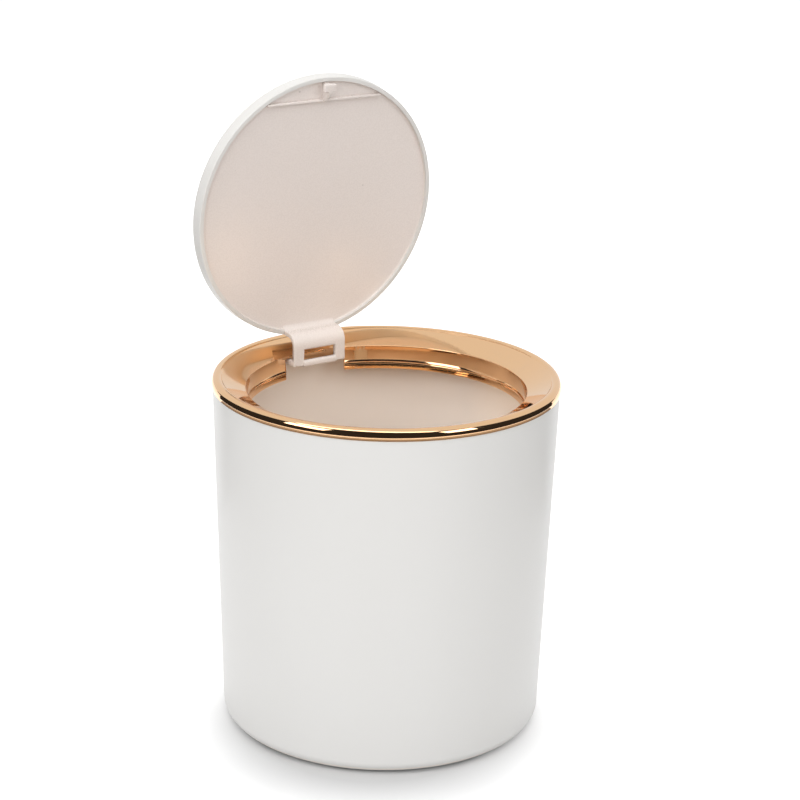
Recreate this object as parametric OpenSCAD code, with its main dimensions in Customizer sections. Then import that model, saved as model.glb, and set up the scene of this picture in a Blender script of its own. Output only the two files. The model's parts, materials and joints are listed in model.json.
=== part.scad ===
// Countertop trash can with a sprung, press-to-open lid on a gooseneck hinge
// The can stands on z = 0 with its axis on Z. The hinge is at the back (+Y), the latch at the front (-Y).
// It is drawn as photographed, with the lid standing open against its stop.

/* [Can] */
// Overall diameter, measured over the rim ring
can_d = 150; // [140:1:170]
// Height of the closed can, up to the crest of the rim ring
can_h = 155.5; // [120:0.5:200]
// How far the body stands inside the rim ring, on the radius
body_inset = 0.5; // [0.2:0.1:1]
// How much narrower the base is than the top, on the radius
body_taper = 4.65; // [2:0.05:7]
// Wall thickness of the body
body_wall = 1.6; // [1.2:0.1:2]
// Thickness of the base
base_t = 2.4; // [1.6:0.1:4]
// Radius of the outer edge of the base
base_round = 5.4; // [3:0.1:8]

/* [Pads] */
// Diameter of one non-slip pad
pad_d = 13; // [8:0.5:18]
// Thickness of a pad
pad_t = 1.4; // [1:0.1:2]
// How far a pad stands proud of the base
pad_proud = 0.6; // [0.3:0.1:0.8]
// Number of pads
pad_count = 4; // [3:1:6]
// Distance of the circle that the pads lie on from the base's edge
pad_inset = 17.85; // [15:0.05:35]

/* [Rim ring] */
// Height of the outer lip
lip_h = 4.85; // [4:0.05:7]
// Radius of the rolled crest
crest_r = 2.5; // [2:0.1:3]
// Width of the ring, from its outer edge in to the mouth
ring_w = 14.7; // [13:0.1:17]
// Depth of the funnel's inner edge below the crest
funnel_drop = 5.84; // [5.4:0.02:6.2]
// Thickness of the funnel
funnel_t = 1.2; // [1:0.1:1.3]
// Thickness of the seat wall below the funnel
seat_t = 1.4; // [1.2:0.1:1.8]
// Height of the seat wall
seat_h = 6.2; // [5.8:0.1:8]
// How far the seat wall draws in on its way down
seat_draft = 0.55; // [0.3:0.05:0.8]
// Radius of one of the two beads below the seat wall
bead_r = 0.45; // [0.3:0.05:0.6]
// Height of the collar below the beads
collar_h = 2.6; // [2:0.1:5]
// How far the collar draws in
collar_in = 1.0; // [0.5:0.1:1.2]
// Depth of the skirt that centres the ring in the body, below the crest
skirt_depth = 11; // [8:0.5:14]
// Thickness of the skirt
skirt_t = 1.4; // [1:0.1:1.8]
// Width of the cut in the seat wall that the hinge arm swings through
arm_cut_w = 31.4; // [30:0.2:34]
// Width of the tongue of seat wall left in the middle of that cut
tongue_w = 21; // [16:0.2:21]
// Depth of the tongue below the crest
tongue_depth = 9.2; // [8:0.1:9.6]

/* [Hinge] */
// Distance of the pin behind the edge of the mouth
pin_behind = 7.5; // [7.3:0.1:7.7]
// Depth of the pin below the crest
pin_depth = 6.3; // [6.2:0.05:6.6]
// Diameter of the pin
pin_d = 2.2; // [1.8:0.1:2.4]
// Outer radius of the hinge eyes
eye_r = 2.1; // [1.9:0.05:2.15]
// Thickness of the ring's hinge ears
ear_t = 2.4; // [1.6:0.1:3]
// Angle that the lid stands open at
open_angle = 84; // [60:1:85]
// Wire of the torsion spring
hinge_wire_d = 0.6; // [0.4:0.05:0.6]
// Length of the torsion spring's coil
hinge_coil_l = 17; // [8:0.5:17]
// Length of the torsion spring's fixed leg
hinge_leg_l = 4.5; // [3:0.1:5]

/* [Lid] */
// Clearance between the lid and the mouth, on the radius
lid_gap = 0.4; // [0.3:0.05:1]
// How much smaller the open edge of the lid is, on the radius
lid_draft = 0.6; // [0.3:0.05:1]
// Depth of the lid's side
lid_h = 7; // [6:0.1:8]
// Rounding of the lid's outer edge
lid_round = 2.2; // [1:0.1:2.6]
// Rise of the crowned top at its middle
lid_crown = 1.0; // [0.4:0.1:2]
// Wall thickness of the cover
cover_t = 1.8; // [1.4:0.1:2.2]
// Depth of the closed lid's open edge below the crest
lid_edge_depth = 10.5; // [10:0.1:10.8]
// How far the panel lies inside the cover's edge
panel_inset = 1.8; // [1.6:0.1:2.2]
// Thickness of the panel
panel_t = 1.8; // [1.4:0.1:2]
// Distance of the chord rib from the panel's edge
rib_inset = 8.8; // [7:0.1:12]
// Thickness of the chord rib
rib_t = 1.0; // [0.8:0.1:1.6]

/* [Gooseneck arm] */
// Width of the arm
arm_w = 26.8; // [26:0.2:27]
// Thickness of the arm
arm_t = 1.9; // [1.6:0.1:2.1]
// Outer radius of the arm's bend
arm_bend_r = 3.3; // [2.6:0.1:4]
// Width of the window
window_w = 16.2; // [12:0.2:17]
// Thickness of the cheeks that run to the pin
cheek_t = 2.2; // [1.8:0.1:2.3]

/* [Striker] */
// Width of the striker's head
head_w = 5.6; // [4.6:0.1:6]
// Length of the striker's head, front to back
head_l = 3.2; // [2.6:0.1:3.4]
// Thickness of the striker's head
head_t = 2; // [1.4:0.1:2.2]
// Width of the striker's neck
neck_w = 2; // [1.4:0.1:2.2]
// How far the striker stands out past the lid's edge
striker_out = 3.7; // [3.6:0.05:3.8]

/* [Latch] */
// Travel of the slider
latch_travel = 2; // [1.6:0.1:2]
// Angle that each jaw opens by
jaw_angle = 12; // [10:0.5:13]
// Thickness of a jaw's arm
jaw_t = 1.2; // [1:0.1:1.4]
// Width of a jaw, front to back
jaw_w = 2.2; // [1.8:0.1:2.4]
// Depth of the jaw pivots below the striker's tip, latched
pivot_drop = 6.8; // [6.4:0.1:7.4]
// Diameter of the jaw pins
jaw_pin_d = 1.2; // [1:0.05:1.3]
// Thickness of the slider's wall behind the spring, which holds the cam pocket
cam_wall = 1.7; // [1.6:0.1:2]
// Angle that the cam link swings through
link_angle = 8; // [4:0.5:10]
// Wall thickness of the latch housing, front and back
housing_wall = 1.4; // [1:0.1:1.8]
// Thickness of the housing's sides, which take the screws
housing_side = 2.4; // [2.2:0.1:3]
// Height of the latch housing
housing_h = 15.4; // [15:0.2:18]
// Thickness of the cap that closes the housing
cap_t = 1.6; // [1.2:0.1:2.4]
// Wire of the latch spring
latch_wire_d = 0.35; // [0.3:0.01:0.4]
// Outer diameter of the latch spring
latch_spring_d = 2.4; // [2:0.1:2.4]
// Diameter of the latch screws
screw_d = 1.4; // [1.2:0.1:1.5]
// Length of the latch screws
screw_l = 5; // [4:0.5:6]
// Diameter of the cam link's wire
link_d = 0.8; // [0.6:0.05:0.8]

/* [Fits] */
// Clearance between parts that move past each other
gap = 0.3; // [0.25:0.01:0.35]
// Clearance on the radius of a turning pin
pin_gap = 0.05; // [0.03:0.01:0.08]

/* [Hidden] */
eps = 0.01;
round_fn = 96;
small_fn = 40;

// Body and ring radii
can_r = can_d / 2;
body_r = can_r - body_inset;
body_top = can_h - lip_h;
base_r = body_r - body_taper;
base_z = pad_proud;
body_slope = body_taper / (body_top - base_z);
body_in_r = body_r - body_wall;
crest_c = can_r - crest_r;
crease_angle = 140;
crease = [crest_c + crest_r * cos(crease_angle), can_h - crest_r + crest_r * sin(crease_angle)];
mouth_r = can_r - ring_w;
mouth = [mouth_r, can_h - funnel_drop];
funnel_dir = (crease - mouth) / norm(crease - mouth);
funnel_slope = funnel_dir[1] / funnel_dir[0];
seat_low = [mouth_r - seat_draft, can_h - funnel_drop - seat_h];
bead_low_z = seat_low[1] - 4 * bead_r;
collar_r = seat_low[0] + bead_r - collar_in;
collar_z = bead_low_z - collar_h;
skirt_r = body_in_r - gap - body_slope * (skirt_depth - lip_h);
skirt_in = skirt_r - skirt_t;
edge_break = 0.3;
pad_ring_r = base_r - pad_inset;
pad_fit = 0.2;
mouth_round = 0.5;
web_w = 0.6;
web_h = 0.8;
press_fit = 0.02;

// Hinge
pin_y = mouth_r + pin_behind;
pin_z = can_h - pin_depth;
arm_cut_half = arm_cut_w / 2;
ear_x = arm_w / 2 + gap;
ear_r = eye_r + gap;
ear_room = 2;
pin_l = 2 * (ear_x + ear_t);
funnel_angle = atan(funnel_slope);
coil_gap = 0.5;
coil_r = pin_d / 2 + coil_gap + hinge_wire_d / 2;
spring_leg_x = hinge_coil_l / 2 + gap + hinge_wire_d / 2;
peg_r = 4;
peg_d = 1.2;
peg_angle = 290;

// Lid, drawn closed
edge_z = can_h - lid_edge_depth;
lid_r = mouth_r - lid_gap;
lid_edge_r = lid_r - lid_draft;
panel_fit = 0.2;
panel_r = lid_edge_r - cover_t - panel_fit;
floor_z = edge_z + panel_inset;
rib_y = panel_r - rib_inset;
lip_break = 0.2;
crown_run = 5;
notch_fit = 0.15;

// Gooseneck arm, as points [y, z] measured from the pin with the lid closed
arm_root = [-11.45, -3.7];
arm_corner = [-9.64, -13.06];
arm_end = [2.02, -14.3];
window_from = -5.24;
window_to = -0.27;
crossbar_l = 0.5;
cheek_out = [3.1, -8];
cheek_top = [3.1, -5];
cheek_in = [0.53, -7.4];
cheek_low = [0.03, -12.2];
cheek_foot = [-0.5, 0.4];
cheek_eye = [20, 215];
neck_dir = (arm_corner - arm_root) / norm(arm_corner - arm_root);
neck_side = [-neck_dir[1], neck_dir[0]];
plate_dir = (arm_end - arm_corner) / norm(arm_end - arm_corner);
plate_side = [-plate_dir[1], plate_dir[0]];
cheek_x = arm_w / 2 - cheek_t;
arm_lift = 1.5;
leg_over = 0.6;
peg_l = cheek_x - spring_leg_x + hinge_wire_d;
window_depth = [11, 17];

// Striker and latch, drawn with the lid closed and the latch shut
striker_y = -(panel_r - 0.3);
striker_tip = edge_z - striker_out;
shoulder_z = striker_tip + head_t;
head_mid_y = striker_y + head_l / 2;
jaw_in = head_w / 2 + gap;
jaw_out = jaw_in + jaw_t;
jaw_hook_in = neck_w / 2 + gap;
hook_low = shoulder_z + gap;
hook_t = 0.8;
pivot_x = jaw_in + jaw_t / 2;
pivot_z = striker_tip - pivot_drop;
bed_z = striker_tip - latch_travel - gap;
hook_nose = 0.3;
hook_run = 0.6;
hook_round = 0.4;
jaw_eye_d = 2.2;
fork_t = 0.6;
fork_over = 1.4;
bed_half_w = 1.6;
slot_fit = 0.2;
slot_half = jaw_w / 2 + slot_fit;
slider_half_l = slot_half + fork_t;
slider_back = slider_half_l + cam_wall;
slider_half_w = jaw_out + 0.4;
fork_depth = 2;
block_top = pivot_z - fork_depth;
block_h = 4.6;
slider_low = block_top - block_h;
cavity_half_w = slider_half_w + gap;
cavity_half_l = slider_half_l + gap;
housing_drop = 0.2;
housing_top = collar_z - housing_drop;
housing_low = housing_top - housing_h;
housing_half_w = cavity_half_w + housing_side;
housing_back = head_mid_y + slider_back + gap + housing_wall;
housing_front = head_mid_y - cavity_half_l - housing_wall;
cap_z = housing_low - cap_t;
bore_cover = 0.6;
bore_top = block_top - bore_cover;
bore_r = latch_spring_d / 2 + gap;
spring_top = bore_top + latch_travel;
bracket_t = 1.8;
bracket_edge = 1;
bracket_half_w = housing_half_w + bracket_edge;
bracket_front = housing_front - bracket_t;
bracket_low = housing_low + bracket_edge;
screw_drop = 3;
screw_z = housing_top - screw_drop;
screw_x = cavity_half_w + housing_side / 2;
screw_head_d = 2.5;
screw_head_h = 1;
peg_h = 1.5;
link_y = slider_back - cam_wall / 2;
link_edge = 1;
link_pivot_z = housing_low + link_edge;
pocket_cover = 0.8;
link_l = block_top - 2 * pocket_cover - link_pivot_z;
pocket_half_w = 1.9;
link_tip_gap = 0.1;

// Points of an arc about c
function arc(c, r, a0, a1, n) =
    [for (i = [0:n]) let (a = a0 + (a1 - a0) * i / n) c + r * [cos(a), sin(a)]];

// Rounding of radius r at the corner p1 between p0 and p2
function round_corner(p0, p1, p2, r, n) =
    let (u = (p0 - p1) / norm(p0 - p1), v = (p2 - p1) / norm(p2 - p1))
    let (h = acos(u * v) / 2, c = p1 + (u + v) / norm(u + v) * r / sin(h))
    let (s = p1 + u * r / tan(h) - c, e = p1 + v * r / tan(h) - c)
    let (a0 = atan2(s[1], s[0]), turn = (atan2(e[1], e[0]) - a0 + 540) % 360 - 180)
    arc(c, r, a0, a0 + turn, n);

// Height of the funnel's underside at radius r
function funnel_under(r) = mouth[1] + (r - mouth_r) * funnel_slope - funnel_t / funnel_dir[0];

// Turns a profile about the can's axis
module turned(points) {
    rotate_extrude($fn = round_fn) polygon(points);
}

// Cylinder along X, centred on the plane x = 0 at [y, z]
module cross_rod(d, l, y, z) {
    translate([-l / 2, y, z]) rotate([0, 90, 0]) cylinder(d = d, h = l, $fn = small_fn);
}

// Rod along Y from y0 to y1
module depth_rod(d, y0, y1, x, z) {
    translate([x, y1, z]) rotate([90, 0, 0]) cylinder(d = d, h = y1 - y0, $fn = small_fn);
}

// Box between two corners
module box(a, b) {
    translate(a) cube(b - a);
}

// Plate of profile [y, z] between x0 and x1, measured from the pin
module hinge_plate(points, x0, x1) {
    translate([x0, pin_y, pin_z]) rotate([90, 0, 90]) linear_extrude(x1 - x0) polygon(points);
}

// Turns what is drawn closed about the pin, up to the open lid
module opened() {
    translate([0, pin_y, pin_z]) rotate([-open_angle, 0, 0]) translate([0, -pin_y, -pin_z]) children();
}

// Lifts what is drawn latched to the released latch
module released() {
    translate([0, 0, latch_travel]) children();
}

module pad_places() {
    for (i = [0:pad_count - 1]) rotate(45 + i * 360 / pad_count) translate([pad_ring_r, 0, 0]) children();
}

module bin_body() {
    in_base = base_r - body_wall;
    out_low = [base_r, base_z];
    in_low = [in_base, base_z + base_t];
    profile = concat(
        [[0, base_z]],
        round_corner([0, base_z], out_low, [body_r, body_top], base_round, 8),
        round_corner([base_r, base_z], [body_r, body_top], [0, body_top], edge_break, 2),
        [[body_in_r, body_top]],
        round_corner([body_in_r, body_top], in_low, [0, in_low[1]], base_round - 1, 8),
        [[0, in_low[1]]]);
    color([0.93, 0.91, 0.89]) difference() {
        turned(profile);
        pad_places() translate([0, 0, base_z - 1])
            cylinder(d = pad_d + 2 * pad_fit, h = 1 + pad_t - pad_proud, $fn = small_fn);
    }
}

module non_slip_pads() {
    color([0.80, 0.79, 0.77]) pad_places() cylinder(d = pad_d, h = pad_t, $fn = small_fn);
}

// Cross-section of the rim ring, from the lip round the crest and down the funnel
module ring_section() {
    back = mouth_r + seat_t;
    crest = arc([crest_c, can_h - crest_r], crest_r, 0, crease_angle, 14);
    edge = round_corner(crease, mouth, seat_low, mouth_round, 4);
    beads = [for (i = [0:1]) each arc([seat_low[0], seat_low[1] - bead_r * (1 + 2 * i)], bead_r, 90, 270, 5)];
    polygon(concat(
        [[can_r, body_top]],
        crest, edge, beads,
        [[collar_r, collar_z], [collar_r + seat_t, collar_z], [seat_low[0] + seat_t, bead_low_z]],
        [[back, mouth[1] - funnel_t - web_h], [back + web_w, funnel_under(back + web_w)]],
        [[skirt_in, funnel_under(skirt_in)], [skirt_in, can_h - skirt_depth]],
        [[skirt_r, can_h - skirt_depth], [skirt_r + body_slope * (skirt_depth - lip_h), body_top]]));
}

// Space that the arm, its cheeks and the eyes need, cut out of seat wall and skirt
module arm_clearance() {
    seat_cut_top = mouth[1] - funnel_t + 0.1;
    difference() {
        box([-arm_cut_half, collar_r - 6, collar_z - 1], [arm_cut_half, pin_y - eye_r, seat_cut_top]);
        box([-tongue_w / 2, collar_r - 7, can_h - tongue_depth], [tongue_w / 2, mouth_r + seat_t + 2, can_h]);
    }
    skirt_cut_half = ear_x + ear_t + ear_room;
    box([-skirt_cut_half, pin_y - eye_r, can_h - skirt_depth - 1], [skirt_cut_half, can_r, body_top - eps]);
}

// One ear that carries the end of the pin, hanging from the funnel
module hinge_ear() {
    top = funnel_under(norm([pin_y, ear_x + ear_t / 2])) + funnel_t / 3 - pin_z;
    outline = concat(
        arc([0, 0], ear_r, 180, 360, 12),
        [[ear_r, top + ear_r * funnel_slope], [-ear_r, top - ear_r * funnel_slope]]);
    hinge_plate(outline, ear_x, ear_x + ear_t);
}

// Plate below the collar that the latch hangs on
module latch_bracket() {
    difference() {
        box([-bracket_half_w, bracket_front, bracket_low], [bracket_half_w, housing_front, seat_low[1]]);
        translate([0, 0, housing_top]) cylinder(r = collar_r + seat_t / 2, h = can_h, $fn = round_fn);
    }
}

module screw_holes() {
    for (s = [-1, 1])
        depth_rod(screw_d + 2 * press_fit, bracket_front - 1, bracket_front + screw_l + gap,
            s * screw_x, screw_z);
}

module rim_ring() {
    color([0.85, 0.68, 0.47]) difference() {
        union() {
            difference() {
                rotate_extrude($fn = round_fn) ring_section();
                arm_clearance();
            }
            hinge_ear();
            mirror([1, 0, 0]) hinge_ear();
            latch_bracket();
        }
        cross_rod(pin_d + 2 * press_fit, pin_l + 2, pin_y, pin_z);
        screw_holes();
    }
}

module hinge_pin() {
    color([0.72, 0.73, 0.74]) cross_rod(pin_d, pin_l, pin_y, pin_z);
}

// Coil of the torsion spring as a sleeve, with the leg that lies under the funnel
module hinge_spring() {
    color([0.6, 0.61, 0.62]) {
        difference() {
            cross_rod(2 * coil_r + hinge_wire_d, hinge_coil_l, pin_y, pin_z);
            cross_rod(2 * coil_r - hinge_wire_d, hinge_coil_l + 1, pin_y, pin_z);
        }
        translate([-hinge_coil_l / 2 + hinge_wire_d, pin_y, pin_z]) rotate([90 + funnel_angle, 0, 0])
            translate([0, coil_r, 0]) cylinder(d = hinge_wire_d, h = hinge_leg_l, $fn = small_fn);
    }
}

// Leg of the torsion spring that pushes the lid's peg and turns with it
module hinge_spring_leg() {
    bend = acos(coil_r / peg_r);
    start_angle = peg_angle + asin((peg_d + hinge_wire_d) / 2 / peg_r) + bend;
    color([0.6, 0.61, 0.62]) opened() translate([spring_leg_x, pin_y, pin_z]) rotate([start_angle, 0, 0])
        translate([0, coil_r, 0]) mirror([0, 0, 1])
            cylinder(d = hinge_wire_d, h = peg_r * sin(bend) + leg_over, $fn = small_fn);
}

// Cover of the lid, a shallow crowned cap
module lid_cover() {
    top_z = edge_z + lid_h;
    wall_top = [lid_r, top_z];
    step_z = floor_z + panel_t;
    crown_in = top_z - cover_t;
    outer = round_corner([lid_edge_r, edge_z], wall_top, [0, top_z], lid_round, 7);
    profile = concat(
        [[lid_edge_r - cover_t, edge_z], [lid_edge_r - lip_break, edge_z], [lid_edge_r, edge_z + lip_break]],
        outer,
        [for (i = [1:6]) let (t = 1 - i / 6) [(lid_r - lid_round) * t, top_z + lid_crown * (1 - t * t)]],
        [for (i = [0:6]) let (t = i / 6) [(lid_r - crown_run) * t, crown_in + lid_crown * (1 - t * t)]],
        [[lid_r - crown_run, step_z], [lid_edge_r - cover_t, step_z]]);
    notch_half = arm_w / 2 + notch_fit;
    color([0.90, 0.88, 0.86]) opened() difference() {
        turned(profile);
        box([-notch_half, rib_y, edge_z - 1], [notch_half, lid_r + 1, step_z]);
    }
}

// Side view of the arm's bent plate
function arm_outline() =
    let (inner_root = arm_root + arm_t * neck_side, inner_end = arm_end + arm_t * plate_side)
    let (half = acos(-(plate_dir * neck_dir)) / 2)
    let (middle = (plate_side + neck_side) / norm(plate_side + neck_side))
    let (inner_corner = arm_corner + arm_t / sin(half) * middle)
    concat(
        [inner_root - arm_lift * neck_dir, arm_root - arm_lift * neck_dir],
        round_corner(arm_root, arm_corner, arm_end, arm_bend_r, 8),
        [arm_end, inner_end],
        round_corner(inner_end, inner_corner, inner_root, arm_bend_r - arm_t, 6));

// One cheek, from the arm's plate to the eye round the pin
module cheek() {
    outline = concat(
        [arm_end, arm_end + arm_t * plate_side, cheek_out, cheek_top],
        arc([0, 0], eye_r, cheek_eye[0], cheek_eye[1], 12),
        [cheek_in, cheek_low, [window_to, arm_end[1]] + cheek_foot]);
    hinge_plate(outline, cheek_x, cheek_x + cheek_t);
}

module arm() {
    difference() {
        hinge_plate(arm_outline(), -arm_w / 2, arm_w / 2);
        box([-window_w / 2, pin_y + window_from, pin_z - window_depth[1]],
            [window_w / 2, pin_y + window_to, pin_z - window_depth[0]]);
    }
    bar_end = arm_end + crossbar_l * plate_dir;
    bar_start = arm_end - plate_dir;
    hinge_plate([bar_start, bar_end, bar_end + arm_t * plate_side, bar_start + arm_t * plate_side],
        -window_w / 2 - crossbar_l, window_w / 2 + crossbar_l);
    cheek();
    mirror([1, 0, 0]) cheek();
    translate([cheek_x - peg_l, pin_y, pin_z]) rotate([peg_angle, 0, 0]) translate([0, peg_r, 0])
        rotate([0, 90, 0]) cylinder(d = peg_d, h = peg_l + eps, $fn = small_fn);
}

// Head and neck that the latch grips, with a web back to the rib
module striker() {
    box([-head_w / 2, striker_y, striker_tip], [head_w / 2, striker_y + head_l, shoulder_z]);
    box([-neck_w / 2, striker_y, striker_tip], [neck_w / 2, striker_y + head_l, floor_z + eps]);
    translate([-neck_w / 2, 0, 0]) rotate([90, 0, 90]) linear_extrude(neck_w)
        polygon([[striker_y + head_l - eps, floor_z + eps], [striker_y + head_l - eps, striker_tip],
            [striker_y + head_l + 0.4, striker_tip], [-rib_y, edge_z - 0.2], [-rib_y, floor_z + eps]]);
}

module lid_panel() {
    color([0.85, 0.82, 0.79]) opened() {
        difference() {
            union() {
                translate([0, 0, floor_z]) cylinder(r = panel_r, h = panel_t, $fn = round_fn);
                intersection() {
                    box([-arm_w / 2, pin_y + arm_root[0], edge_z], [arm_w / 2, lid_r, floor_z + panel_t]);
                    translate([0, 0, edge_z - 1]) cylinder(r = lid_edge_r, h = lid_h, $fn = round_fn);
                }
                arm();
                intersection() {
                    box([-panel_r, -rib_y - rib_t, edge_z + 0.1], [panel_r, -rib_y, floor_z + eps]);
                    translate([0, 0, edge_z - 1]) cylinder(r = panel_r, h = lid_h, $fn = round_fn);
                }
                striker();
            }
            cross_rod(pin_d + 2 * pin_gap, pin_l, pin_y, pin_z);
        }
    }
}

module latch_housing() {
    stop_z = block_top + latch_travel + gap;
    color([0.25, 0.25, 0.26]) difference() {
        box([-housing_half_w, housing_front, housing_low], [housing_half_w, housing_back, housing_top]);
        translate([0, head_mid_y, 0]) {
            box([-cavity_half_w, -cavity_half_l, housing_low - 1],
                [cavity_half_w, cavity_half_l, housing_top + 1]);
            box([-cavity_half_w, -cavity_half_l, housing_low - 1], [cavity_half_w, slider_back + gap, stop_z]);
            depth_rod(link_d + 2 * pin_gap, slider_back, slider_back + gap + housing_wall + 1, 0, link_pivot_z);
        }
        screw_holes();
    }
}

// Cap under the housing, with a peg that centres the spring
module latch_cap() {
    peg = latch_spring_d - 2 * latch_wire_d - gap;
    color([0.25, 0.25, 0.26]) {
        box([-housing_half_w, housing_front, cap_z], [housing_half_w, housing_back, housing_low]);
        translate([0, head_mid_y, housing_low - eps]) cylinder(d = peg, h = peg_h, $fn = small_fn);
    }
}

module latch_screws() {
    color([0.72, 0.73, 0.74]) for (s = [-1, 1]) {
        depth_rod(screw_d, bracket_front - eps, bracket_front + screw_l, s * screw_x, screw_z);
        depth_rod(screw_head_d, bracket_front - screw_head_h, bracket_front, s * screw_x, screw_z);
    }
}

module latch_slider() {
    color([0.9, 0.9, 0.88]) released() translate([0, head_mid_y, 0]) difference() {
        union() {
            box([-slider_half_w, -slider_half_l, slider_low], [slider_half_w, slider_back, block_top]);
            for (s = [-1, 1]) translate([0, s * (slot_half + fork_t / 2), 0])
                box([-slider_half_w, -fork_t / 2, block_top - eps],
                    [slider_half_w, fork_t / 2, pivot_z + fork_over]);
            box([-bed_half_w, -slider_half_l, block_top - eps], [bed_half_w, slider_half_l, bed_z]);
        }
        translate([0, 0, slider_low - 1]) cylinder(r = bore_r, h = bore_top + 1 - slider_low, $fn = small_fn);
        box([-pocket_half_w, slider_half_l + gap, slider_low - 1],
            [pocket_half_w, slider_back + 1, block_top - pocket_cover]);
        for (s = [-1, 1])
            depth_rod(jaw_pin_d + press_fit, -slider_half_l - 1, slider_half_l + 1, s * pivot_x, pivot_z);
    }
}

// Right jaw, drawn shut: an arm up from the pivot with a hook over the striker's shoulder
module jaw() {
    outline = concat(
        [[jaw_in, pivot_z], [jaw_in, hook_low], [jaw_hook_in, hook_low], [jaw_hook_in, hook_low + hook_nose]],
        [[jaw_hook_in + hook_run, hook_low + hook_t], [jaw_out - hook_round, hook_low + hook_t]],
        [[jaw_out, hook_low + hook_t - hook_round], [jaw_out, pivot_z]]);
    difference() {
        union() {
            translate([0, head_mid_y + jaw_w / 2, 0]) rotate([90, 0, 0]) linear_extrude(jaw_w) polygon(outline);
            depth_rod(jaw_eye_d, head_mid_y - jaw_w / 2, head_mid_y + jaw_w / 2, pivot_x, pivot_z);
        }
        depth_rod(jaw_pin_d + 2 * pin_gap, head_mid_y - jaw_w, head_mid_y + jaw_w, pivot_x, pivot_z);
    }
}

module open_jaw() {
    released() translate([pivot_x, 0, pivot_z]) rotate([0, jaw_angle, 0])
        translate([-pivot_x, 0, -pivot_z]) jaw();
}

module latch_jaw_right() {
    color([0.9, 0.9, 0.88]) open_jaw();
}

module latch_jaw_left() {
    color([0.9, 0.9, 0.88]) mirror([1, 0, 0]) open_jaw();
}

module latch_jaw_pins() {
    color([0.72, 0.73, 0.74]) released() translate([0, head_mid_y, 0])
        for (s = [-1, 1]) depth_rod(jaw_pin_d, -slider_half_l, slider_half_l, s * pivot_x, pivot_z);
}

module latch_spring() {
    color([0.6, 0.61, 0.62]) translate([0, head_mid_y, housing_low]) difference() {
        cylinder(d = latch_spring_d, h = spring_top - housing_low, $fn = small_fn);
        translate([0, 0, -1]) cylinder(d = latch_spring_d - 2 * latch_wire_d, h = spring_top, $fn = small_fn);
    }
}

// Wire that swings in the housing's back wall, with its tip in the slider's cam pocket
module latch_cam_link() {
    color([0.72, 0.73, 0.74]) translate([0, head_mid_y, link_pivot_z]) rotate([0, -link_angle / 2, 0]) {
        translate([0, link_y, 0]) cylinder(d = link_d, h = link_l, $fn = small_fn);
        depth_rod(link_d, link_y - link_d / 2, slider_back + gap + housing_wall, 0, 0);
        depth_rod(link_d, slider_half_l + gap + link_tip_gap, link_y + link_d / 2, 0, link_l);
    }
}

bin_body();
non_slip_pads();
rim_ring();
hinge_pin();
hinge_spring();
hinge_spring_leg();
lid_cover();
lid_panel();
latch_housing();
latch_cap();
latch_screws();
latch_slider();
latch_jaw_left();
latch_jaw_right();
latch_jaw_pins();
latch_spring();
latch_cam_link();
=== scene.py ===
# %% [markdown]
# # A countertop trash can with a bright rim ring and a press-to-open lid
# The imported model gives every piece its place, so this notebook only dresses it. The wall of the can,
# the ring, the lid and its gooseneck arm are worked out again as finer surfaces of the same size, and
# each finish is a procedural material. Lengths are in millimetres while a shape is worked out and
# become metres in the mesh.

# %% Load the frame
import json
import math

import bmesh
import bpy
import numpy as np
from mathutils import Matrix, Vector

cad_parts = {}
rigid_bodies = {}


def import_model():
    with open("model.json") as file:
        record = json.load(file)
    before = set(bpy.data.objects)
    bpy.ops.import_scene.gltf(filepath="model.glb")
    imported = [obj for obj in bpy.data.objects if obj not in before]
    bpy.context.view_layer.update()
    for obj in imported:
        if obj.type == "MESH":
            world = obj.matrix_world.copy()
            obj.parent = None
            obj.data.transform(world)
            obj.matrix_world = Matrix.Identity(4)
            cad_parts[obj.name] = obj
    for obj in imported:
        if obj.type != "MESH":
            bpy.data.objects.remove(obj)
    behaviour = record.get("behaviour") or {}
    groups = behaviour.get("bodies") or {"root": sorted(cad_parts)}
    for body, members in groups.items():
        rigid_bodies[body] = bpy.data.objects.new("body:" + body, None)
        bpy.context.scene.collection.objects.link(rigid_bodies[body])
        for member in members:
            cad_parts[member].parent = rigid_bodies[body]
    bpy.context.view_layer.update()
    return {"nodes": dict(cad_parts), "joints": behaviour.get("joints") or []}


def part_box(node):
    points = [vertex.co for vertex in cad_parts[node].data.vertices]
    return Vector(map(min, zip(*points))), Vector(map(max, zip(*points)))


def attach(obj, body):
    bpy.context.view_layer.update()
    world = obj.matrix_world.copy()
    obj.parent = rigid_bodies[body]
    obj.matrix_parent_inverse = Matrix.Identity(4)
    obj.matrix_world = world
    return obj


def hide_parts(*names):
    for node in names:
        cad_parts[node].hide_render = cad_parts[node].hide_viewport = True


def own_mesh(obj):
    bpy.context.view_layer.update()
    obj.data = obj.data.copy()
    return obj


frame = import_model()
MM = 0.001


def box_mm(node):
    """Lowest and highest corner of a node, in millimetres."""
    low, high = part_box(node)
    return np.array(low) / MM, np.array(high) / MM


# %% [markdown]
# ## Driving sizes
# The frame says how wide and high the ring is, where the body's edge lies and where the hinge pin runs.
# What it can't say, such as the rounding of an edge, is named here once.

# %% Sizes read from the frame
_, ring_high = box_mm("rim_ring")
body_low, body_high = box_mm("bin_body")
pin_low, pin_high = box_mm("hinge_pin")
can_h = ring_high[2]
can_r = ring_high[0]
body_top = body_high[2]
body_base = body_low[2]
body_r = body_high[0]
pin = (pin_low + pin_high) / 2
joint_range = {j["name"]: j for j in frame["joints"]}
open_turn = math.radians(joint_range["lid_hinge"]["range_deg"][1])
print(f"can {2 * can_r:.1f} x {can_h:.1f} mm, pin at y {pin[1]:.1f}, z {pin[2]:.1f}")

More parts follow.
